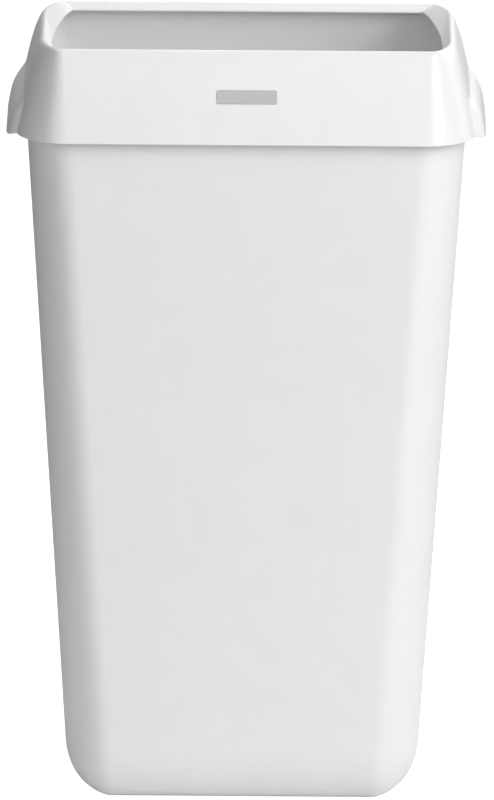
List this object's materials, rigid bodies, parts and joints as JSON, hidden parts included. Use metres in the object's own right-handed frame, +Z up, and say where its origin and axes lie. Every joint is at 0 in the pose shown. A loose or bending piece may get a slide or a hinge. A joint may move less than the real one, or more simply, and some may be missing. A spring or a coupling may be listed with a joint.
{
  "type": "open-top waste bin",
  "caption": "Tall tapered rectangular open-top waste bin with a lift-off collar that hides the bag, side finger grips, a blank badge plate and a bag ring.",
  "frame": {"origin": "on the floor, under the middle of the bin", "axes": "+Z up, -Y is the front with the badge, +X to the right as seen from the front"},
  "size_m": [0.3874, 0.289, 0.62],
  "materials": {
    "body_plastic": "fine satin moulded white",
    "collar_plastic": "fine satin moulded white",
    "badge_plate": "satin light grey",
    "ring_plastic": "satin white",
    "foot_rubber": "matt dark grey"
  },
  "bodies": {
    "bin": {"bin_body": "body_plastic", "foot_pad_front_left": "foot_rubber", "foot_pad_front_right": "foot_rubber", "foot_pad_back_left": "foot_rubber", "foot_pad_back_right": "foot_rubber"},
    "collar": {"collar": "collar_plastic", "badge_plate": "badge_plate"},
    "ring": {"liner_ring": "ring_plastic"}
  },
  "joints": [
    {"name": "collar_lift", "type": "slide", "parent": "bin", "child": "collar", "axis": [0, 0, 1], "range_m": [0, 0.16]},
    {"name": "ring_lift", "type": "slide", "parent": "bin", "child": "ring", "axis": [0, 0, 1], "range_m": [0, 0.08]}
  ],
  "couplings": [
    {"joint": "ring_lift", "follows": "collar_lift", "ratio": 0.5}
  ]
}
